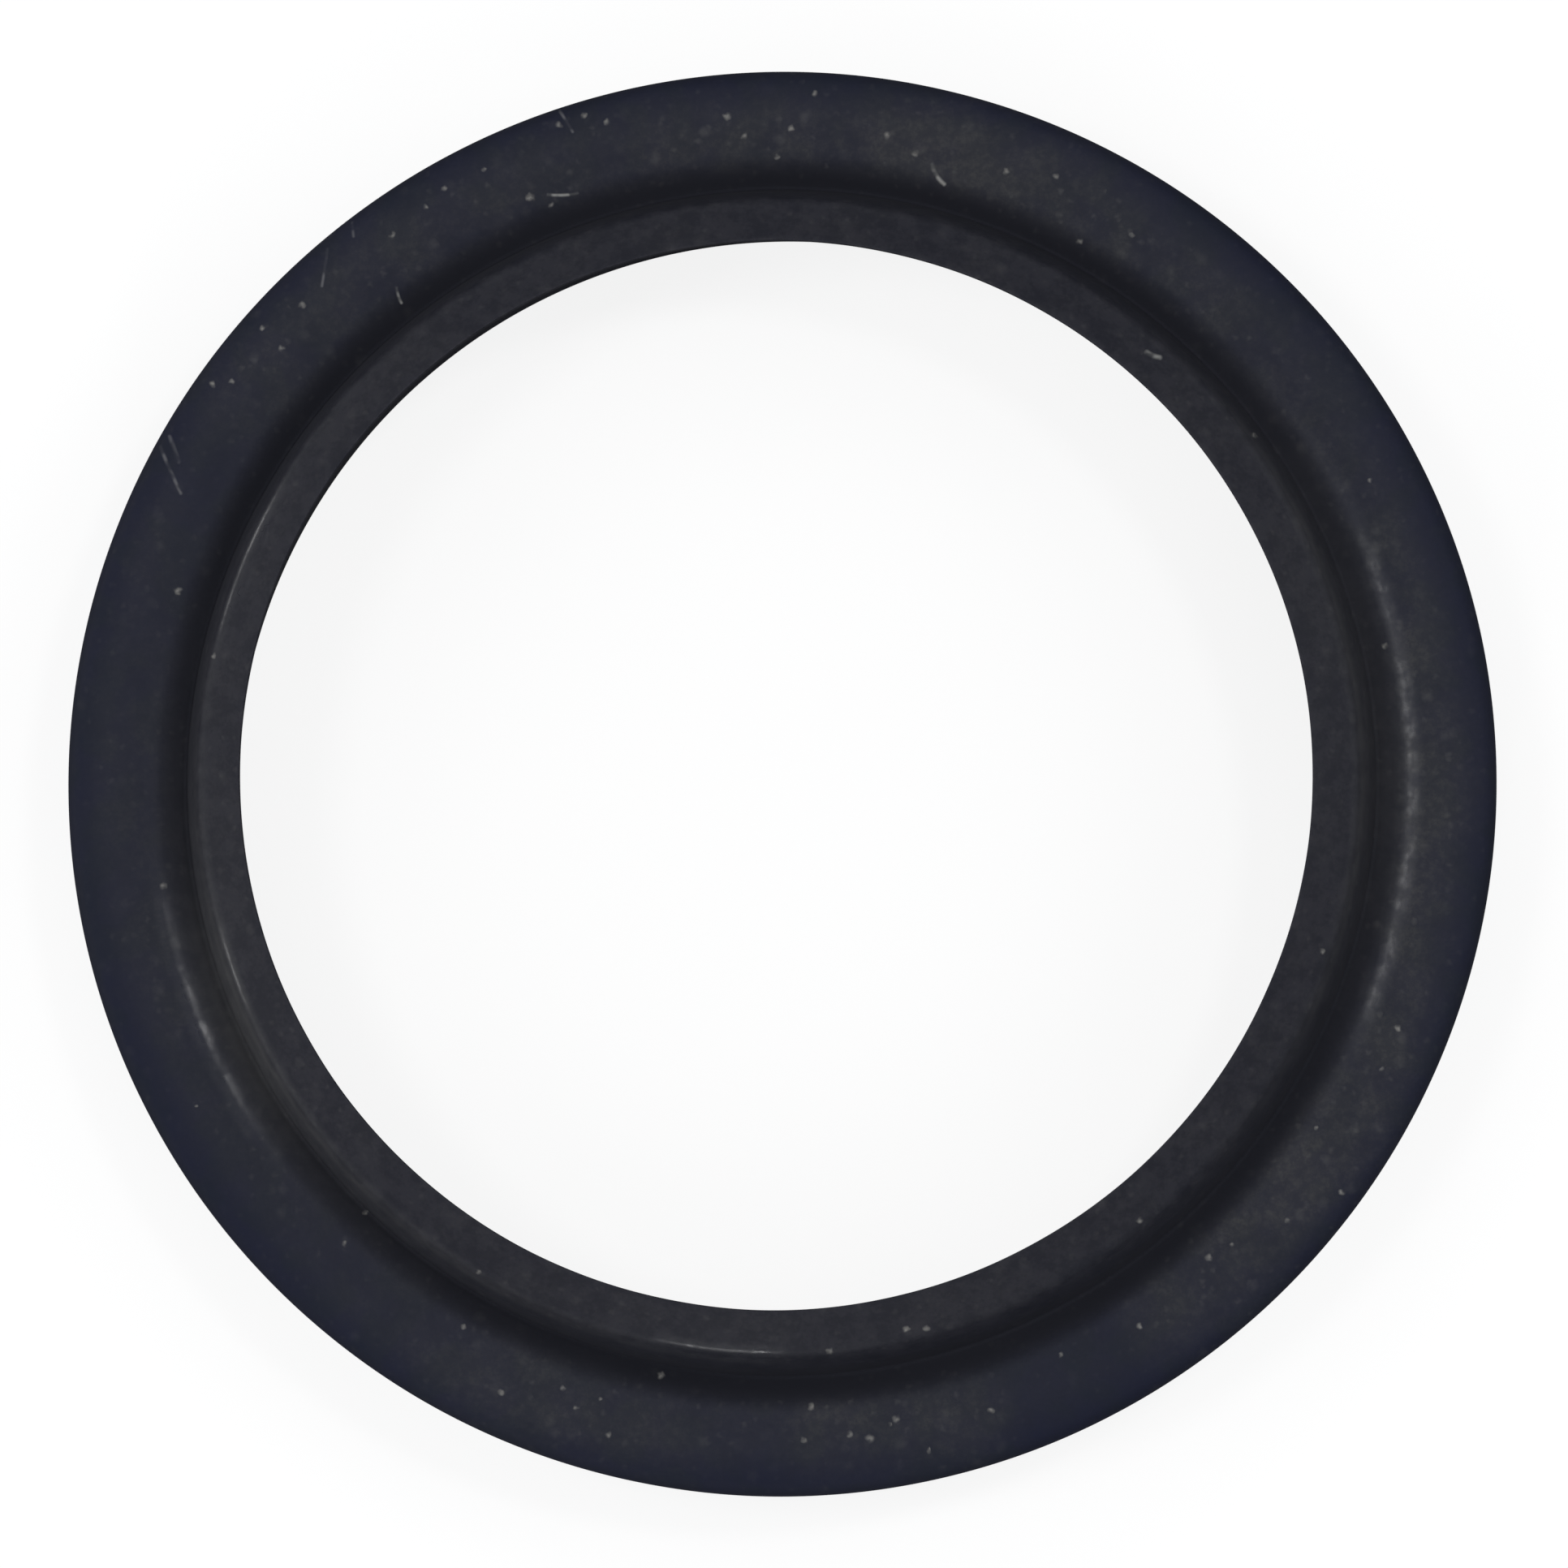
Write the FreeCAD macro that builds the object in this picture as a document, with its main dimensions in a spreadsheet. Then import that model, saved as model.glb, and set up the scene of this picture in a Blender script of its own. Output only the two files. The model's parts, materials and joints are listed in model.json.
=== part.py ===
"""Rod wiper seal: one moulded rubber ring with a dirt lip.

The ring sits in a groove in a cylinder's end cap and wipes dirt off the rod that slides
through it. Its heel fills the groove, its lip leans inwards over the bore and bears on the
rod, and a dirt groove parts the lip from the broad land that faces outwards.

Frame: the ring's axis is +Z, the back face of the heel lies on z = 0 and the wiping edge
is at the top. Lengths are in millimetres.
"""
import FreeCAD, Part
import Sketcher
import os

NODE = "wiper_ring"

# Driving sizes. A seal of this kind is named by its rod, its housing groove and its height.
SIZES = {
    "rod_diameter": 30.0,
    "section_depth": 5.0,        # from the rod to the bottom of the housing groove
    "seat_height": 5.0,          # width of the housing groove along the rod
    "lip_reach": 2.0,            # how far the lip stands out of the housing groove
    "outer_squeeze": 0.2,        # free outer diameter over the housing groove's
    "lip_squeeze": 0.2,          # rod diameter over the free lip's
    "bore_clearance": 0.75,      # gap between the heel and the rod
    "lead_in_width": 0.35,       # cone that leads the heel's back corner into its groove
    "lead_in_height": 0.6,
    "bore_break": 0.25,          # chamfer at the back of the bore
    "land_fall": 0.18,           # both edges of the land lie this much below its crest
    "land_crown": 5.0,           # radius of the land's gentle crown
    "outer_round": 0.45,
    "rim_round": 1.6,
    "groove_depth": 0.5,         # dirt groove, below the land's crest
    "groove_wall_lean": 0.8,     # its outer wall rises to the rim over this width
    "floor_width": 0.1,
    "flank_lean": 0.48,          # the lip's outer flank leans by this much
    "lip_face_width": 1.3,
    "lip_face_fall": 0.72,       # the lip's face falls this much from wiping edge to ridge
    "ridge_round": 0.12,         # between the lip's face and its flank
    "wiping_band": 0.2,          # height of the narrow band that bears on the rod
    "lip_root_drop": 0.4,        # the lip's inner flank starts this far below the land
}

# Radii and heights of the section's corners, worked out by the sheet
PLACES = {
    "back_height": "=0",
    "bore_radius": "=rod_diameter / 2 + bore_clearance",
    "outer_radius": "=rod_diameter / 2 + section_depth + outer_squeeze / 2",
    "heel_back_radius": "=outer_radius - lead_in_width",
    "lip_radius": "=rod_diameter / 2 - lip_squeeze / 2",
    "ridge_radius": "=lip_radius + lip_face_width",
    "floor_inner_radius": "=ridge_radius + flank_lean",
    "floor_outer_radius": "=floor_inner_radius + floor_width",
    "rim_radius": "=floor_outer_radius + groove_wall_lean",
    "half_land": "=(outer_radius - rim_radius) / 2",
    "crest_radius": "=rim_radius + half_land",
    "land_edge_height": "=seat_height - land_fall",
    "floor_height": "=seat_height - groove_depth",
    "lip_root_height": "=seat_height - lip_root_drop",
    "tip_height": "=seat_height + lip_reach",
    "ridge_height": "=tip_height - lip_face_fall",
    "band_height": "=tip_height - wiping_band",
}

# Corners of the section in order round its outline, from the back of the bore outwards:
# name, radius and height above the back face
CORNERS = [
    ("bore_back", "bore_radius", "back_height"),
    ("heel_back", "heel_back_radius", "back_height"),
    ("heel_side", "outer_radius", "lead_in_height"),
    ("shoulder", "outer_radius", "land_edge_height"),
    ("crest", "crest_radius", "seat_height"),
    ("rim", "rim_radius", "land_edge_height"),
    ("floor_outer", "floor_outer_radius", "floor_height"),
    ("floor_inner", "floor_inner_radius", "floor_height"),
    ("ridge", "ridge_radius", "ridge_height"),
    ("wiping_edge", "lip_radius", "tip_height"),
    ("band_end", "lip_radius", "band_height"),
    ("lip_root", "bore_radius", "lip_root_height"),
]

# Corners that are rounded, with each radius. Rounds that share a side of the section are
# limited by it, so that both fit.
ROUNDS = {
    "shoulder": "min(Sizes.outer_round; 0.4 * Sizes.half_land)",
    "crest": "min(Sizes.land_crown; 0.6 * Sizes.half_land ^ 2 / Sizes.land_fall)",
    "rim": "min(Sizes.rim_round; 1.3 * Sizes.half_land)",
    "ridge": "min(Sizes.ridge_round; 0.5 * Sizes.lip_face_width)",
}


def fill_sheet(doc):
    """Put the driving sizes and the places worked out from them into a spreadsheet."""
    sheet = doc.addObject("Spreadsheet::Sheet", "Sizes")
    entries = [*SIZES.items(), *PLACES.items()]
    for row, (alias, content) in enumerate(entries, start=1):
        sheet.set(f"A{row}", alias)
        sheet.set(f"B{row}", str(content))
        sheet.setAlias(f"B{row}", alias)
    doc.recompute()
    return sheet


def draw_section(body, sheet):
    """Draw the ring's section in the XZ plane: sketch x is the radius, sketch y the height."""
    sketch = body.newObject("Sketcher::SketchObject", "ring_section")
    plane = next(f for f in body.Origin.OriginFeatures if f.Role == "XZ_Plane")
    sketch.AttachmentSupport = [(plane, "")]
    sketch.MapMode = "FlatFace"

    start_point, end_point = 1, 2
    origin = (-1, 1)

    def bind(constraint, label, formula):
        index = sketch.addConstraint(constraint)
        sketch.renameConstraint(index, label)
        sketch.setExpression(f"Constraints.{label}", formula)

    points = [FreeCAD.Vector(getattr(sheet, r), getattr(sheet, z), 0) for _, r, z in CORNERS]
    followers = points[1:] + points[:1]
    for start, end in zip(points, followers):
        sketch.addGeometry(Part.LineSegment(start, end), False)
    for side, (name, radius, height) in enumerate(CORNERS):
        corner = (side, start_point)
        following = (side + 1) % len(CORNERS)
        sketch.addConstraint(Sketcher.Constraint("Coincident", side, end_point, following, start_point))
        across = Sketcher.Constraint("DistanceX", *origin, *corner, points[side].x)
        bind(across, f"{name}_radius", f"Sizes.{radius}")
        up = Sketcher.Constraint("DistanceY", *origin, *corner, points[side].y)
        bind(up, f"{name}_height", f"Sizes.{height}")

    for side, (name, _, _) in enumerate(CORNERS):
        if name not in ROUNDS:
            continue
        arc = sketch.GeometryCount
        radius = sketch.evalExpression(ROUNDS[name])
        sketch.fillet(side, start_point, radius, True, True)
        bind(Sketcher.Constraint("Radius", arc, radius), f"{name}_round", ROUNDS[name])
    return sketch


def mould_ring(doc, sheet):
    """Revolve the section into the ring and break the back edge of its bore."""
    body = doc.addObject("PartDesign::Body", NODE)
    body.Label = NODE
    body.Placement = FreeCAD.Placement()
    sketch = draw_section(body, sheet)

    ring = body.newObject("PartDesign::Revolution", "ring")
    ring.Profile = sketch
    ring.ReferenceAxis = (sketch, ["V_Axis"])
    ring.Angle = 360.0
    doc.recompute()

    bore_break = body.newObject("PartDesign::Chamfer", "bore_break")
    bore_break.Base = (ring, [back_edge_of_bore(ring.Shape, sheet)])
    bore_break.setExpression("Size", "Sizes.bore_break")
    body.Tip = bore_break
    doc.recompute()
    return body


def back_edge_of_bore(shape, sheet):
    """The circular edge where the bore meets the back face."""
    for number, edge in enumerate(shape.Edges, start=1):
        if isinstance(edge.Curve, Part.Circle) and abs(edge.Curve.Center.z) < 1e-6:
            if abs(edge.Curve.Radius - sheet.bore_radius) < 1e-6:
                return f"Edge{number}"
    raise RuntimeError("the bore has no back edge")


def check(doc, body):
    """Stop if a feature failed, a size is left loose or the ring isn't one sound solid."""
    for item in doc.Objects:
        if "Invalid" in item.State or "Error" in item.State:
            raise RuntimeError(f"{item.Label} failed: {item.State}")
    if not doc.getObject("ring_section").FullyConstrained:
        raise RuntimeError("the section isn't fully constrained")
    if body.Shape.isNull() or not body.Shape.isValid() or len(body.Shape.Solids) != 1:
        raise RuntimeError(f"{body.Label} isn't one valid solid")


doc = FreeCAD.newDocument("wiper_seal")
sheet = fill_sheet(doc)
body = mould_ring(doc, sheet)
check(doc, body)

os.makedirs("parts", exist_ok=True)
body.Shape.exportStep(f"parts/{NODE}.step")
box = body.Shape.optimalBoundingBox()
print(f"{NODE}: {box.XLength:.3f} x {box.YLength:.3f} x {box.ZLength:.3f} mm, "
      f"{body.Shape.Volume:.1f} mm3, {len(body.Shape.Faces)} faces")
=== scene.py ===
import json
import math

import bpy
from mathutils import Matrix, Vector


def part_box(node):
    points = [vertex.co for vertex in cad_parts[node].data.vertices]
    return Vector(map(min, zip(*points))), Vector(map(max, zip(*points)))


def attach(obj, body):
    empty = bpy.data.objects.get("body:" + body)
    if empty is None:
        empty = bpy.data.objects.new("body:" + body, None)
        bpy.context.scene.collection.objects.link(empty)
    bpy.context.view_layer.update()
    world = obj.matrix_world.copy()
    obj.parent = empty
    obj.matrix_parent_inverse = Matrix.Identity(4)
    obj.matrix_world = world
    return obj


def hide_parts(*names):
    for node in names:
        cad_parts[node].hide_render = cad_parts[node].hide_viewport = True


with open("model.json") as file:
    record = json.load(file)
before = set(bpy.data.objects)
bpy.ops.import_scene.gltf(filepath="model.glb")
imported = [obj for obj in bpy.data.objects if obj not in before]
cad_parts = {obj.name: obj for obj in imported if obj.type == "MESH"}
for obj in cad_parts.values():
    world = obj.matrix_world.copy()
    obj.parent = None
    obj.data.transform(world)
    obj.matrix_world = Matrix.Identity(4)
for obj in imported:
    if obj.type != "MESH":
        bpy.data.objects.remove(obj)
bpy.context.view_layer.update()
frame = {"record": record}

MM = 0.001


# The wiper ring: one soft ring of black nitrile rubber, moulded in one shot. Its heel fills the
# housing groove, its lip leans inwards over the bore and wipes the rod, and a dirt groove parts
# the two. It lies free here, so it is a touch oval and its lip isn't quite even.
mounts = {mount["name"]: mount["dims"] for mount in frame["record"]["mounts"]}
lip_radius = mounts["rod_lip"]["r_mm"]
outer_radius = mounts["housing_fit"]["r_mm"]
tip_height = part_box("wiper_ring")[1].z / MM

lip_reach = 2.0
lip_face_width, lip_face_fall = 1.25, 0.7
flank_lean = 0.53
floor_width, floor_round = 0.1, 0.1
groove_depth, groove_wall_lean = 0.5, 0.8
land_fall, land_crown = 0.18, 5.0
rim_round, outer_round = 1.6, 0.6
ridge_round, flank_round = 0.5, 1.0
flank_swell = 0.05
flank_foot_share, flank_foot_rise = 0.65, 0.9
flank_top_share, flank_top_drop = 0.2, 0.33
bore_radius, bore_break = 15.75, 0.25
lead_in_width, lead_in_height = 0.35, 0.6
wiping_band, lip_root_drop = 0.2, 0.4

ridge_radius = lip_radius + lip_face_width
floor_inner_radius = ridge_radius + flank_lean
floor_outer_radius = floor_inner_radius + floor_width
rim_radius = floor_outer_radius + groove_wall_lean
seat_height = tip_height - lip_reach
land_edge_height = seat_height - land_fall
floor_height = seat_height - groove_depth
ridge_height = tip_height - lip_face_fall
flank_foot = ridge_radius + flank_foot_share * flank_lean + flank_swell / 2
flank_top = ridge_radius + flank_top_share * flank_lean + flank_swell

# Corners of the section, from the back of the bore outwards: radius, height and rounding in mm
corners = [
    (bore_radius + bore_break, 0.0, 0.04),
    (outer_radius - lead_in_width, 0.0, 0.12),
    (outer_radius, lead_in_height, 0.35),
    (outer_radius, land_edge_height, outer_round),
    ((outer_radius + rim_radius) / 2, seat_height, land_crown),
    (rim_radius, land_edge_height, rim_round),
    (floor_inner_radius + floor_width / 2, floor_height, floor_round),
    (flank_foot, floor_height + flank_foot_rise, 2 * flank_round),
    (flank_top, ridge_height - flank_top_drop, flank_round),
    (ridge_radius, ridge_height, ridge_round),
    (lip_radius, tip_height, 0.03),
    (lip_radius, tip_height - wiping_band, 0.04),
    (bore_radius, seat_height - lip_root_drop, 0.6),
    (bore_radius, bore_break, 0.08),
]
section_mesh = bpy.data.meshes.new("ring_section")
around = range(len(corners))
section_mesh.from_pydata(
    [(radius * MM, 0.0, height * MM) for radius, height, _ in corners],
    [(side, (side + 1) % len(corners)) for side in around],
    [],
)
rounding = section_mesh.attributes.new("rounding", "FLOAT", "POINT")
rounding.data.foreach_set("value", [corner[2] * MM for corner in corners])


def put(name, data):
    """A new object in the scene, at the origin."""
    placed = bpy.data.objects.new(name, data)
    bpy.context.scene.collection.objects.link(placed)
    return placed


ring = put("moulded_ring", section_mesh)


class Nodes:
    """A node tree under construction, for shapes and for materials."""

    def __init__(self, tree):
        self.tree = tree

    def add(self, kind, settings, inputs, output=0):
        """Add a node: its settings are set first, then its sockets, by name or by number."""
        node = self.tree.nodes.new(kind)
        for name, setting in settings.items():
            if name == "stops":
                ramp = node.color_ramp
                while len(ramp.elements) < len(setting):
                    ramp.elements.new(1.0)
                for element, (position, colour) in zip(ramp.elements, setting):
                    element.position, element.color = position, colour
            elif name == "between_stops":
                node.color_ramp.interpolation = setting
            else:
                setattr(node, name, setting)
        for name, value in inputs.items():
            if isinstance(value, Value):
                self.tree.links.new(value.socket, node.inputs[name])
            else:
                node.inputs[name].default_value = value
        return Value(self, node.outputs[output])

    def end(self, kind, name, value):
        """Add the tree's last node and lead the value into its named socket."""
        node = self.tree.nodes.new(kind)
        self.tree.links.new(value.socket, node.inputs[name])


class Value:
    """A node's output. Arithmetic on it adds the Math nodes that work it out."""

    def __init__(self, nodes, socket):
        self.nodes, self.socket = nodes, socket

    def output(self, name):
        return Value(self.nodes, self.socket.node.outputs[name])

    def math(self, operation, *others):
        inputs = dict(enumerate((self, *others)))
        return self.nodes.add("ShaderNodeMath", {"operation": operation}, inputs)

    def __add__(self, other):
        return self.math("ADD", other)

    __radd__ = __add__

    def __sub__(self, other):
        return self.math("SUBTRACT", other)

    def __rsub__(self, other):
        return self.nodes.add("ShaderNodeMath", {"operation": "SUBTRACT"}, {0: other, 1: self})

    def __mul__(self, other):
        return self.math("MULTIPLY", other)

    __rmul__ = __mul__

    def __truediv__(self, other):
        return self.math("DIVIDE", other)

    def __pow__(self, other):
        return self.math("POWER", other)

    def __gt__(self, other):
        return self.math("GREATER_THAN", other)


# The section is rounded, divided and turned about the ring's axis
turning = bpy.data.node_groups.new("turn_section", "GeometryNodeTree")
turning.is_modifier = True
sizes = {
    "Segments": ("NodeSocketInt", 600),
    "Front Spacing": ("NodeSocketFloat", 0.2 * MM),
    "Back Spacing": ("NodeSocketFloat", 0.5 * MM),
    "Oval": ("NodeSocketFloat", 0.02 * MM),
    "Oval Angle": ("NodeSocketFloat", math.radians(12.0)),
    "Lip Spread": ("NodeSocketFloat", 0.075 * MM),
    "Lip Shift": ("NodeSocketFloat", 0.138 * MM),
    "Lip Shift Angle": ("NodeSocketFloat", math.radians(126.5)),
    "Lip Unevenness": ("NodeSocketFloat", 0.05 * MM),
    "Heel Unevenness": ("NodeSocketFloat", 0.015 * MM),
    "Material": ("NodeSocketMaterial", None),
}
turning.interface.new_socket("Geometry", in_out="INPUT", socket_type="NodeSocketGeometry")
turning.interface.new_socket("Geometry", in_out="OUTPUT", socket_type="NodeSocketGeometry")
for name, (kind, _) in sizes.items():
    turning.interface.new_socket(name, in_out="INPUT", socket_type=kind)

shape = Nodes(turning)
given = shape.add("NodeGroupInput", {}, {}, "Geometry")
outline = shape.add("GeometryNodeMeshToCurve", {}, {"Mesh": given})
rounding = shape.add("GeometryNodeInputNamedAttribute", {"data_type": "FLOAT"}, {"Name": "rounding"})
step_length = 0.06 * MM
fewest_steps, most_steps = 5.0, 9.0
rounding_steps = (rounding / step_length).math("MAXIMUM", fewest_steps).math("MINIMUM", most_steps)
outline = shape.add(
    "GeometryNodeFilletCurve", {"mode": "POLY"},
    {"Curve": outline, "Count": rounding_steps, "Radius": rounding, "Limit Radius": True},
)

# Straight runs are divided finely on the front, coarsely on the back and in the bore
place = shape.add("GeometryNodeInputPosition", {}, {})
following = shape.add("GeometryNodeOffsetPointInCurve", {}, {"Offset": 1}, "Point Index")
next_place = shape.add(
    "GeometryNodeFieldAtIndex", {"data_type": "FLOAT_VECTOR"}, {"Value": place, "Index": following}
)
run = shape.add("ShaderNodeVectorMath", {"operation": "DISTANCE"}, {0: place, 1: next_place}, "Value")
middle = shape.add("ShaderNodeVectorMath", {"operation": "ADD"}, {0: place, 1: next_place})
middle = shape.add("ShaderNodeSeparateXYZ", {}, {"Vector": middle}, "Z") / 2.0
fine = middle > (floor_height - 0.1) * MM
spacing = fine * given.output("Front Spacing") + (1.0 - fine) * given.output("Back Spacing")
cuts = (run / spacing).math("FLOOR")
outline = shape.add("GeometryNodeSubdivideCurve", {}, {"Curve": outline, "Cuts": cuts})
points = shape.add("GeometryNodeAttributeDomainSize", {"component": "CURVE"}, {"Geometry": outline})

# A grid's columns go round the axis and its rows follow the section
segments = given.output("Segments")
grid = shape.add(
    "GeometryNodeMeshGrid", {},
    {"Size X": 1.0, "Size Y": 1.0, "Vertices X": segments + 1, "Vertices Y": points + 1},
)
across = shape.add("ShaderNodeSeparateXYZ", {}, {"Vector": place}, "X") + 0.5
along = shape.add("ShaderNodeSeparateXYZ", {}, {"Vector": place}, "Y") + 0.5
row = (along * points).math("ROUND").math("FLOORED_MODULO", points)

# The map unrolls the ring into three strips, each a third of the way round
strips, strip_margin = 3, 0.01
strip = shape.add(
    "GeometryNodeFieldOnDomain", {"data_type": "FLOAT", "domain": "FACE"}, {"Value": across}
)
strip = (strip * strips).math("FLOOR")
map_x = (across * strips - strip) * (1.0 - 2 * strip_margin) + strip_margin
map_y = (strip + strip_margin + along * (1.0 - 2 * strip_margin)) / strips
unrolled = shape.add("ShaderNodeCombineXYZ", {}, {"X": map_x, "Y": map_y})
grid = shape.add(
    "GeometryNodeStoreNamedAttribute", {"data_type": "FLOAT2", "domain": "CORNER"},
    {"Geometry": grid, "Name": "OFBake", "Value": unrolled},
)

corner = shape.add(
    "GeometryNodeSampleIndex", {"data_type": "FLOAT_VECTOR", "domain": "POINT"},
    {"Geometry": outline, "Value": place, "Index": row},
)
radius = shape.add("ShaderNodeSeparateXYZ", {}, {"Vector": corner}, "X")
height = shape.add("ShaderNodeSeparateXYZ", {}, {"Vector": corner}, "Z")
angle = across * math.tau
cosine, sine = angle.math("COSINE"), angle.math("SINE")

# Soft rubber lies a touch oval, and its lip leans to one side and bends in and out a little
heading = shape.add("ShaderNodeCombineXYZ", {}, {"X": cosine, "Y": sine})
wander = shape.add(
    "ShaderNodeTexNoise", {},
    {"Vector": heading, "Scale": 1.6, "Detail": 2.0, "Roughness": 0.55},
) - 0.5
lean = (height / (tip_height * MM)) ** 3.0
unevenness = given.output("Heel Unevenness") + lean * given.output("Lip Unevenness")
oval = ((angle - given.output("Oval Angle")) * 2.0).math("COSINE") * given.output("Oval")
shift = (angle - given.output("Lip Shift Angle")).math("COSINE") * given.output("Lip Shift")
radius = radius + oval + wander * unevenness + lean * (given.output("Lip Spread") + shift)
position = shape.add(
    "ShaderNodeCombineXYZ", {}, {"X": radius * cosine, "Y": radius * sine, "Z": height}
)
grid = shape.add("GeometryNodeSetPosition", {}, {"Geometry": grid, "Position": position})
grid = shape.add("GeometryNodeMergeByDistance", {}, {"Geometry": grid, "Distance": 0.001 * MM})
grid = shape.add("GeometryNodeSetShadeSmooth", {}, {"Geometry": grid, "Shade Smooth": True})
grid = shape.add("GeometryNodeRealizeInstances", {}, {"Geometry": grid})
grid = shape.add(
    "GeometryNodeSetMaterial", {}, {"Geometry": grid, "Material": given.output("Material")}
)
shape.end("NodeGroupOutput", "Geometry", grid)


# Shade is painted into the bottom of the groove and onto the outer shoulder, and painted light
# brightens the groove and a band along the lip's ridge in some stretches.
# Black rubber: blue-black and dull. Fine dust lies on the faces that look up, thicker in some
# stretches than in others, with loose grains and lint, and the outer edge is rubbed clean.
# Lengths in the material are in mm, and places round the ring are in degrees clockwise from +X.
rubber = bpy.data.materials.new("black_rubber")
rubber.use_nodes = True
rubber.node_tree.nodes.clear()
look = Nodes(rubber.node_tree)


def grain(scale, detail, roughness):
    """Noise from 0 to 1 that repeats about every 1 / scale mm."""
    inputs = {"Vector": spot, "Scale": scale, "Detail": detail, "Roughness": roughness}
    return look.add("ShaderNodeTexNoise", {}, inputs, "Fac")


def rise(value, start, end):
    """0 up to start, 1 from end on, and smooth between them. With end first it falls instead."""
    inputs = {"Value": value, "From Min": start, "From Max": end}
    return look.add("ShaderNodeMapRange", {"interpolation_type": "SMOOTHSTEP"}, inputs)


def close_to(value, middle, inside, outside):
    """1 where the value lies within inside of the middle, and 0 from outside on."""
    return rise((value - middle).math("ABSOLUTE"), outside, inside)


def blend(share, first, second):
    """The first colour where share is 0 and the second where it is 1."""
    colour_a, colour_b, result = 6, 7, 2
    inputs = {"Factor": share, colour_a: first, colour_b: second}
    return look.add("ShaderNodeMix", {"data_type": "RGBA"}, inputs, result)


object_place = look.add("ShaderNodeTexCoord", {}, {}, "Object")
spot = look.add("ShaderNodeVectorMath", {"operation": "SCALE"}, {0: object_place, "Scale": 1 / MM})
x_here = look.add("ShaderNodeSeparateXYZ", {}, {"Vector": spot}, "X")
y_here, height_here = x_here.output("Y"), x_here.output("Z")
radius_here = (x_here * x_here + y_here * y_here).math("SQRT")
clock = ((y_here * -1.0).math("ARCTAN2", x_here) / math.tau).math("FLOORED_MODULO", 1.0)
degrees_here = clock * 360.0
mm_per_degree = radius_here * math.radians(1.0)

# How each stretch of the ring looks: the dust near the rim and near the outer edge, and the dust
# and painted light in the groove; how much handling has polished the rim and the lip's ridge, and
# how bright a painted sheen lies along the ridge
dust_stretches = [
    (0, 0.9, 0.5, 1.1), (8, 0.9, 0.3, 0.9), (20, 0.8, 0.6, 0.6), (33, 1.0, 1.0, 0.3),
    (46, 1.0, 0.8, 0.2), (55, 0.5, 0.5, 0.1), (59, 0.0, 0.0, 0.0), (69, 0.1, 0.0, 0.0),
    (73, 0.7, 0.6, 0.0), (86, 0.9, 0.4, 0.0), (91, 0.4, 0.0, 0.0), (102, 0.5, 0.4, 0.1),
    (114, 0.6, 0.7, 0.3), (124, 0.3, 0.3, 0.5), (140, 0.3, 0.0, 1.0), (153, 0.4, 0.0, 1.8),
    (164, 0.4, 0.1, 1.6), (172, 0.4, 0.2, 1.0), (186, 0.3, 0.4, 0.5), (210, 0.1, 0.3, 0.2),
    (217, 0.5, 0.8, 0.1), (232, 0.5, 0.6, 0.1), (252, 0.6, 0.6, 0.1), (265, 0.9, 0.4, 0.1),
    (276, 0.9, 0.4, 0.1), (286, 1.0, 0.9, 0.2), (302, 0.8, 0.4, 0.1), (312, 0.6, 0.1, 0.3),
    (322, 0.6, 0.4, 0.5), (334, 0.6, 0.1, 0.8), (352, 0.9, 0.2, 1.1), (360, 0.9, 0.5, 1.1),
]
polish_stretches = [
    (0, 1.05, 0.1, 0.7), (20, 1.05, 0.1, 0.7), (27, 0.2, 0.1, 0.4), (45, 0.1, 0.0, 0.2),
    (89, 0.1, 0.1, 0.2), (90.5, 0.1, 1.35, 0.5), (101, 0.1, 1.35, 0.5), (103, 0.1, 0.1, 0.4),
    (125, 0.1, 0.0, 0.7), (140, 0.1, 0.0, 0.8), (146, 0.7, 0.1, 1.0), (156, 1.0, 0.1, 1.2),
    (158, 1.0, 1.0, 1.5), (163, 0.9, 1.0, 1.5), (167, 0.8, 0.1, 0.9), (173, 0.2, 0.0, 0.5),
    (193, 0.1, 0.1, 0.3), (196, 0.1, 1.1, 0.5), (208, 0.2, 1.1, 0.6), (213, 0.1, 0.1, 0.2),
    (240, 0.0, 0.0, 0.1), (315, 0.1, 0.0, 0.2), (332, 0.4, 0.1, 0.8), (340, 1.0, 0.1, 0.8),
    (360, 1.05, 0.1, 0.7),
]


def along_turn(stretches):
    """The amounts of a table of stretches at a point's share of the turn."""
    stops = [(degrees / 360, (*amounts, 1.0)) for degrees, *amounts in stretches]
    table = look.add("ShaderNodeValToRGB", {"stops": stops}, {"Fac": clock}, "Color")
    parts = look.add("ShaderNodeSeparateColor", {}, {"Color": table}, "Red")
    return parts, parts.output("Green"), parts.output("Blue")


rim_dust, edge_dust, groove_dust_and_light = along_turn(dust_stretches)
rim_polish, ridge_polish, ridge_sheen = along_turn(polish_stretches)

# The section's faces, told apart by radius and height
front = rise(height_here, floor_height - 0.4, floor_height)
land = rise(radius_here, floor_outer_radius + 0.1, rim_radius + 0.3) * front
lip_face = rise(height_here, seat_height + 0.9, seat_height + 1.3)
below_lip = (1.0 - lip_face) * front
groove = (1.0 - land) * below_lip
outer_edge = rise(radius_here, outer_radius - 1.3, outer_radius - 0.15)
rim = rise(radius_here, rim_radius - 0.4, rim_radius - 0.1)
rim = rim * rise(radius_here, rim_radius + 0.6, rim_radius + 0.2)
ridge = rise(radius_here, ridge_radius - 0.42, ridge_radius - 0.18) * lip_face
# A band along the top of the ridge that takes a painted sheen
crown = close_to(radius_here, ridge_radius + 0.1, 0.05, 0.3)
crown = crown * rise(height_here, seat_height + 0.6, seat_height + 0.9)
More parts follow.
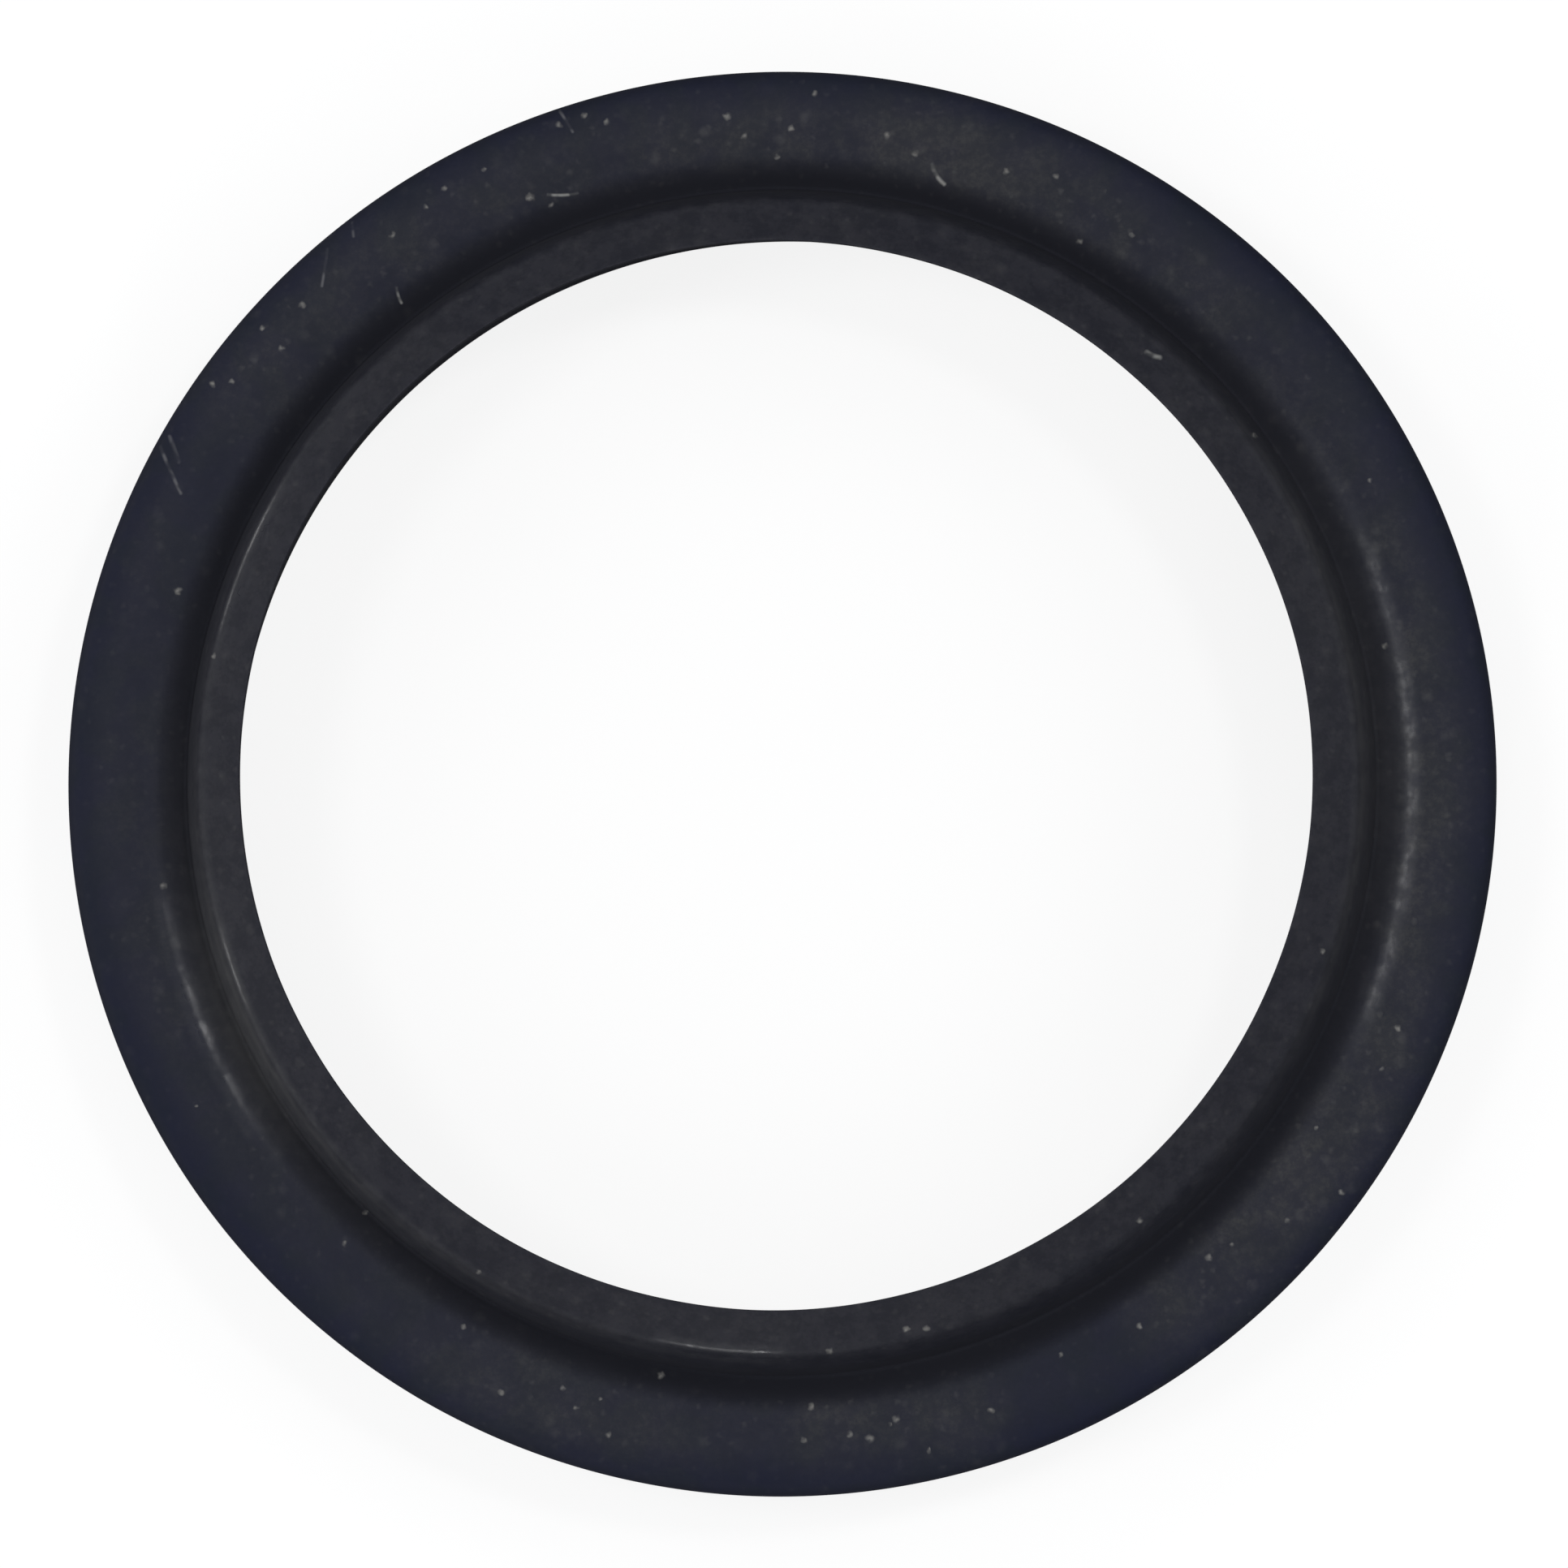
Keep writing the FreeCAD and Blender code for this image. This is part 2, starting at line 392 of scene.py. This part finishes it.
# The groove's bottom, painted darker as shade and made rougher
pit_shade = close_to(radius_here, floor_inner_radius + 0.2, 0.15, 0.85) * below_lip
wall = rise(radius_here, outer_radius - 0.3, outer_radius - 0.1)
# The outer shoulder, painted darker as shade
shoulder_shade = rise(radius_here, outer_radius - 0.35, outer_radius) * front

patches = rise(grain(0.55, 1.0, 0.6), 0.36, 0.64)
outwards = rise(radius_here, rim_radius + 0.6, outer_radius - 0.6)
dust_there = rim_dust + (edge_dust - rim_dust) * outwards
groove_film_and_light = groove * groove_dust_and_light
dusty = land * (1.0 - 0.7 * outer_edge) * dust_there + groove_film_and_light * 0.2 + lip_face * 0.3
mottle = grain(1.6, 2.0, 0.6)
haze = dusty * (0.4 + 0.45 * patches + 0.35 * rise(mottle, 0.36, 0.64))
tooth = grain(8.5, 2.0, 0.65)
powder = rise(grain(4.6, 2.0, 0.8), 0.38, 0.72)

deep_black = (0.0066, 0.0073, 0.0142, 1.0)
worn_black = (0.0124, 0.0128, 0.0208, 1.0)
clean_blue = (0.0024, 0.0046, 0.0200, 1.0)
dust_brown = (0.0640, 0.0625, 0.0590, 1.0)
clean_teal = (0.0022, 0.0052, 0.0168, 1.0)
# The next three are painted light and shade: a shade for the groove's bottom, a grey that is partly
# dust and partly painted light for the groove, and a painted sheen for the ridge.
painted_pit_shade = (0.0092, 0.0098, 0.0150, 1.0)
film_and_light_grey = (0.0480, 0.0480, 0.0500, 1.0)
painted_sheen_grey = (0.0620, 0.0620, 0.0640, 1.0)
grain_grey = (0.1900, 0.1850, 0.1750, 1.0)
lint_grey = (0.2700, 0.2700, 0.2600, 1.0)
scuff_grey = (0.1050, 0.1050, 0.1150, 1.0)

colour = blend(rise(mottle * 0.6 + tooth * 0.4, 0.4, 0.6), deep_black, worn_black)
tint = land.math("MAXIMUM", wall) * (0.43 + 0.12 * outer_edge + 0.5 * mottle)
bloom = rise(grain(0.8, 1.0, 0.5), 0.42, 0.6)
colour = blend(tint, colour, blend(bloom, clean_blue, clean_teal))
colour = blend(haze * (0.25 + 0.2 * powder), colour, dust_brown)
# Partly painted light: the groove is lightened to grey in the stretches where light falls into it,
# over a little real dust.
colour = blend(groove_film_and_light * (0.2 + 0.3 * mottle), colour, film_and_light_grey)
# Painted shade: the groove's bottom is darkened towards black, less where the groove is painted lit.
colour = blend(pit_shade * (0.9 - 0.5 * groove_dust_and_light).math("MAXIMUM", 0.1), colour, painted_pit_shade)
# Painted shade: the outer shoulder, which rounds away from the light, is darkened.
colour = blend(shoulder_shade * 0.3, colour, deep_black)
# Painted sheen: a pale band along the lip's ridge, brighter in some stretches.
colour = blend(crown * ridge_sheen * (0.15 + 0.25 * mottle), colour, painted_sheen_grey)

# Loose grains, sown at random, with ragged outlines
ruffle = look.add("ShaderNodeTexNoise", {}, {"Vector": spot, "Scale": 7.0, "Detail": 0.0}, "Color")
ruffle = look.add("ShaderNodeVectorMath", {"operation": "SUBTRACT"}, {0: ruffle, 1: (0.5, 0.5, 0.5)})
ruffle = look.add("ShaderNodeVectorMath", {"operation": "SCALE"}, {0: ruffle, "Scale": 0.12})
ragged = look.add("ShaderNodeVectorMath", {"operation": "ADD"}, {0: spot, 1: ruffle})
scattered = 0.0
for spacing, size, kept in ((0.7, 0.24, 0.3), (0.33, 0.13, 0.3)):
    cells = look.add(
        "ShaderNodeTexVoronoi", {"feature": "F1"}, {"Vector": ragged, "Scale": 1 / spacing}, "Distance"
    )
    pick = look.add("ShaderNodeSeparateColor", {}, {"Color": cells.output("Color")}, "Red")
    dots = rise(cells, size / spacing, 0.0) * (pick - kept).math("MAXIMUM", 0.0)
    scattered = dots + scattered


def nearest(marks):
    """The fields of the mark whose share of the turn a point lies in, from one or more tables."""
    marks = sorted(marks)
    starts = [0.0] + [(one[0] + other[0]) / 2 for one, other in zip(marks, marks[1:])]
    fields = []
    for first in range(0, len(marks[0]), 3):
        stops = [
            (start / 360, (*mark[first:first + 3], 1.0)) for start, mark in zip(starts, marks)
        ]
        settings = {"stops": stops, "between_stops": "CONSTANT"}
        table = look.add("ShaderNodeValToRGB", settings, {"Fac": clock}, "Color")
        parts = look.add("ShaderNodeSeparateColor", {}, {"Color": table}, "Red")
        fields += [parts, parts.output("Green"), parts.output("Blue")]
    return fields


def grains_at(marks):
    """1 on single grains, each given by its degrees, radius and size, and 0 beside them."""
    degrees, radius, size = nearest(marks)
    sideways = (degrees_here - degrees) * mm_per_degree + ruffle_x
    outwards = radius_here - radius + ruffle_y
    off = (sideways * sideways + outwards * outwards).math("SQRT") / size
    return rise(off, 1.5, 0.0) * front


def strokes_at(marks):
    """1 on thin strokes: degrees and radius of both ends, half width and bend, offset by 1."""
    degrees, radius, turned, rise_out, width, bend = nearest(marks)
    mm_turned = radius * math.radians(1.0)
    across = (degrees_here - degrees) * mm_turned
    outwards = radius_here - radius
    run_across, run_out = (turned - 20.0) * mm_turned, rise_out - 5.0
    length = (run_across * run_across + run_out * run_out).math("SQRT")
    run_across, run_out = run_across / length, run_out / length
    along = across * run_across + outwards * run_out
    beside = across * run_out - outwards * run_across
    share = (along / length).math("MAXIMUM", 0.0).math("MINIMUM", 1.0)
    past = along - share * length
    beside = beside - share * (1.0 - share) * (bend - 1.0)
    off = (past * past + beside * beside).math("SQRT") / width
    return rise(off, 1.3, 0.0) * beads


beads = (0.15 + 0.85 * rise(grain(2.6, 1.0, 0.5), 0.4, 0.6)) * front
ruffle_x = look.add("ShaderNodeSeparateXYZ", {}, {"Vector": ruffle}, "X")
ruffle_y = ruffle_x.output("Y")

# Grains that show one by one: degrees, radius and size
grains = [
    (17.7, 15.95, 0.07), (21.9, 18.65, 0.08), (36.3, 19.5, 0.07), (45.8, 18.15, 0.07),
    (50.8, 15.95, 0.08), (56.6, 18.3, 0.07), (64.0, 17.9, 0.06), (71.5, 18.6, 0.07),
    (76.9, 15.78, 0.09), (79.7, 18.2, 0.09), (83.9, 18.43, 0.08), (87.2, 17.56, 0.08),
    (101.4, 17.0, 0.08), (106.3, 18.05, 0.06), (109.8, 18.1, 0.07), (114.5, 18.85, 0.08),
    (120.2, 17.7, 0.07), (133.4, 17.85, 0.07), (170.5, 17.65, 0.09), (192.4, 16.25, 0.07),
    (197.7, 17.85, 0.09), (215.1, 19.6, 0.08), (221.3, 19.5, 0.07), (234.7, 18.95, 0.08),
    (240.5, 19.3, 0.07), (246.8, 17.98, 0.1), (253.6, 19.65, 0.08), (265.4, 18.85, 0.09),
    (270.9, 18.45, 0.08), (279.4, 18.5, 0.09), (299.0, 17.4, 0.08), (347.4, 17.4, 0.08),
]
more_grains = [
    (25.7, 18.7, 0.06), (33.0, 17.9, 0.05), (41.0, 18.8, 0.06), (48.1, 17.95, 0.1),
    (74.9, 15.9, 0.08), (77.4, 19.2, 0.08), (80.2, 18.3, 0.06), (82.2, 18.6, 0.1),
    (84.9, 16.03, 0.08), (87.9, 18.5, 0.08), (104.7, 18.95, 0.08), (108.1, 18.5, 0.06),
    (121.3, 16.15, 0.06), (134.0, 16.85, 0.06), (151.0, 18.8, 0.05), (216.2, 19.2, 0.07),
    (221.0, 18.7, 0.07), (225.0, 19.1, 0.08), (238.4, 19.1, 0.07), (244.2, 19.25, 0.07),
    (248.4, 17.55, 0.08), (251.4, 19.6, 0.08), (255.3, 19.3, 0.08), (266.8, 18.25, 0.08),
    (269.7, 17.65, 0.07), (272.9, 19.45, 0.07), (282.1, 18.1, 0.08), (290.3, 18.35, 0.08),
    (294.5, 18.75, 0.07), (302.8, 18.3, 0.07), (324.1, 16.45, 0.07), (333.0, 18.6, 0.06),
]
lone = (grains_at(grains) + grains_at(more_grains) * 0.8) * (0.65 + 0.45 * rise(tooth, 0.36, 0.6))
grit = (scattered * (0.04 + 0.17 * dusty) + lone * 0.85).math("MINIMUM", 1.0)
colour = blend(grit, colour, grain_grey)

# Lint: short curved fibres that cling to the land and the lip. Each has its degrees and radius,
# the degrees (+ 20) and radius (+ 5) gained along it, its half width and its bend (+ 1) in mm.
lint = [
    (231.7, 17.3, 20.5, 5.4, 0.05, 0.9), (248.4, 17.86, 22.6, 4.75, 0.05, 1.15),
    (283.8, 17.94, 21.5, 4.55, 0.07, 1.25), (310.9, 15.77, 21.3, 5.13, 0.08, 1.1),
]
colour = blend(strokes_at(lint) * 0.9, colour, lint_grey)

# Scratches across the outer edge, where the skin is scuffed to a darker grey
scratches = [
    (205.8, 18.8, 22.7, 6.15, 0.06, 1.0), (227.3, 19.1, 22.4, 5.7, 0.05, 1.05),
    (251.8, 20.0, 20.5, 4.3, 0.055, 1.0),
]
second_scratch = [(208.1, 19.25, 21.5, 5.6, 0.07, 1.0), (232.0, 19.6, 20.6, 5.35, 0.05, 1.0)]
scuffs = (strokes_at(scratches) + strokes_at(second_scratch) * 0.7).math("MINIMUM", 1.0)
colour = blend(scuffs * 0.8, colour, scuff_grey)

# The grain of the mould's skin, the fine turning marks of its floor on the back face and the
# faint line on the outer wall where its halves meet
skin_depth, turning_depth, parting_depth = 0.008, 0.0012, 0.02
turning_radians_per_mm = 22.0
parting_height = 2.6
skin = grain(2.8, 1.0, 0.6) * skin_depth
turned = (radius_here * turning_radians_per_mm).math("SINE")
turned = turned * rise(height_here, 0.1, 0.02) * turning_depth
parting = close_to(height_here, parting_height, 0.02, 0.07) * wall * parting_depth
bump = look.add("ShaderNodeBump", {}, {"Height": skin + turned + parting, "Distance": MM})
rubbed = 0.7 + 0.5 * rise(mottle, 0.38, 0.62)
polished = (rim * rim_polish * 0.31 + ridge * ridge_polish * 0.24) * rubbed
matt = 0.49 + 0.14 * mottle + 0.06 * haze + 0.3 * pit_shade + 0.12 * outer_edge - polished

coating = look.add(
    "ShaderNodeBsdfPrincipled", {},
    {"Base Color": colour, "Roughness": matt, "Normal": bump, "Specular IOR Level": 0.21},
)
look.end("ShaderNodeOutputMaterial", "Surface", coating)

modifier = ring.modifiers.new("turn_section", "NODES")
modifier.node_group = turning
for item in turning.interface.items_tree:
    if item.in_out == "INPUT" and item.name in sizes:
        _, size = sizes[item.name]
        modifier[item.identifier] = rubber if item.name == "Material" else size

# The turned shape becomes a plain mesh, without the grid's own empty material slot
shapes = bpy.context.evaluated_depsgraph_get()
moulded = bpy.data.meshes.new_from_object(ring.evaluated_get(shapes), depsgraph=shapes)
moulded.name = "moulded_ring"
moulded.materials.pop(index=0)
ring.modifiers.clear()
ring.data = moulded
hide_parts("wiper_ring")
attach(ring, "root")


# A plain white floor that the ring lies on, as smooth as a sheet of card. The camera sees it as
# white, and it still takes the ring's shadow.
floor_half, floor_drop = 0.6, 0.0001
floor_grey, floor_glow = 0.2, 0.83
floor_mesh = bpy.data.meshes.new("floor")
floor_mesh.from_pydata(
    [(x * floor_half, y * floor_half, -floor_drop) for x, y in ((-1, -1), (1, -1), (1, 1), (-1, 1))],
    [],
    [(0, 1, 2, 3)],
)
floor = put("floor", floor_mesh)
paper = bpy.data.materials.new("white_floor")
paper.use_nodes = True
paper.node_tree.nodes.clear()
page = Nodes(paper.node_tree)
pale = page.add("ShaderNodeBsdfDiffuse", {}, {"Color": (floor_grey, floor_grey, floor_grey, 1.0)})
plain_white = (1.0, 1.0, 1.0, 1.0)
glow = page.add("ShaderNodeEmission", {}, {"Color": plain_white, "Strength": floor_glow})
seen = page.add("ShaderNodeLightPath", {}, {}, "Is Camera Ray")
glow = page.add("ShaderNodeMixShader", {}, {0: seen, 2: glow})
both = page.add("ShaderNodeAddShader", {}, {0: pale, 1: glow})
page.end("ShaderNodeOutputMaterial", "Surface", both)
floor_mesh.materials.append(paper)


# The camera looks almost straight down from 285 mm, leaning towards the lower right
viewing_distance = 285.0
lean_angle = math.asin(0.065)
lean_heading = math.radians(-53.5)
pixels_per_mm = 43.81
frame_width = 1932
sensor = 36.0
aim = (0.083, -0.065, land_edge_height)
lens_data = bpy.data.cameras.new("camera")
lens_data.sensor_width = sensor
lens_data.lens = pixels_per_mm * viewing_distance * sensor / frame_width
lens_data.clip_start, lens_data.clip_end = 0.01, 5.0
camera = put("camera", lens_data)
camera.location = (
    (aim[0] + viewing_distance * math.sin(lean_angle) * math.cos(lean_heading)) * MM,
    (aim[1] + viewing_distance * math.sin(lean_angle) * math.sin(lean_heading)) * MM,
    (aim[2] + viewing_distance * math.cos(lean_angle)) * MM,
)
camera.rotation_euler = (
    math.asin(math.sin(lean_angle) * math.sin(-lean_heading)),
    math.asin(math.sin(lean_angle) * math.cos(lean_heading)),
    0.0,
)
bpy.context.scene.camera = camera

# A bright room, a little brighter low round the ring than above it. The camera sees it as plain
# white.
room = bpy.data.worlds.new("room")
bpy.context.scene.world = room
room.use_nodes = True
room.node_tree.nodes.clear()
sky = Nodes(room.node_tree)
upward = sky.add("ShaderNodeTexCoord", {}, {}, "Generated")
upward = sky.add("ShaderNodeSeparateXYZ", {}, {"Vector": upward}, "Z")
glow_low, glow_high, glow_top = 0.44, 0.39, 0.8
daylight = (0.96, 0.98, 1.0, 1.0)
level = sky.add(
    "ShaderNodeMapRange", {},
    {"Value": upward, "From Max": glow_top, "To Min": glow_low, "To Max": glow_high},
)
glow = sky.add("ShaderNodeBackground", {}, {"Color": daylight, "Strength": level})
page_white = sky.add("ShaderNodeBackground", {}, {"Color": plain_white, "Strength": 1.0})
seen = sky.add("ShaderNodeLightPath", {}, {}, "Is Camera Ray")
glow = sky.add("ShaderNodeMixShader", {}, {0: seen, 1: glow, 2: page_white})
sky.end("ShaderNodeOutputWorld", "Surface", glow)

# Soft lamps, each aimed at the ring: name, bearing, elevation, width in m and strength in W
lamps = [
    ("right_box", 18.0, 42.0, 0.22, 0.215),
    ("left_box", 190.0, 42.0, 0.22, 0.11),
    ("far_box", 105.0, 45.0, 0.2, 0.145),
    ("near_box", 300.0, 45.0, 0.2, 0.135),
    ("right_high", 34.0, 69.0, 0.05, 0.2),
    ("left_high", 171.0, 71.5, 0.085, 0.22),
    ("left_low", 196.0, 5.0, 0.07, 0.2),
    ("far_left_low", 155.0, 6.0, 0.08, 0.22),
    ("near_low", 262.0, 18.0, 0.05, 0.24),
    ("near_left_low", 225.0, 8.0, 0.16, 0.03),
    ("right_low", 0.0, 8.0, 0.2, 0.08),
]
lamp_distance = 0.4
for name, bearing, elevation, width, strength in lamps:
    lamp_data = bpy.data.lights.new(name, "AREA")
    lamp_data.shape, lamp_data.size, lamp_data.energy = "DISK", width, strength
    lamp = put(name, lamp_data)
    bearing, elevation = math.radians(bearing), math.radians(elevation)
    level = math.cos(elevation)
    towards = Vector((level * math.cos(bearing), level * math.sin(bearing), math.sin(elevation)))
    lamp.location = towards * lamp_distance
    lamp.rotation_euler = towards.to_track_quat("Z", "Y").to_euler()

bpy.context.scene.view_settings.view_transform = "Standard"
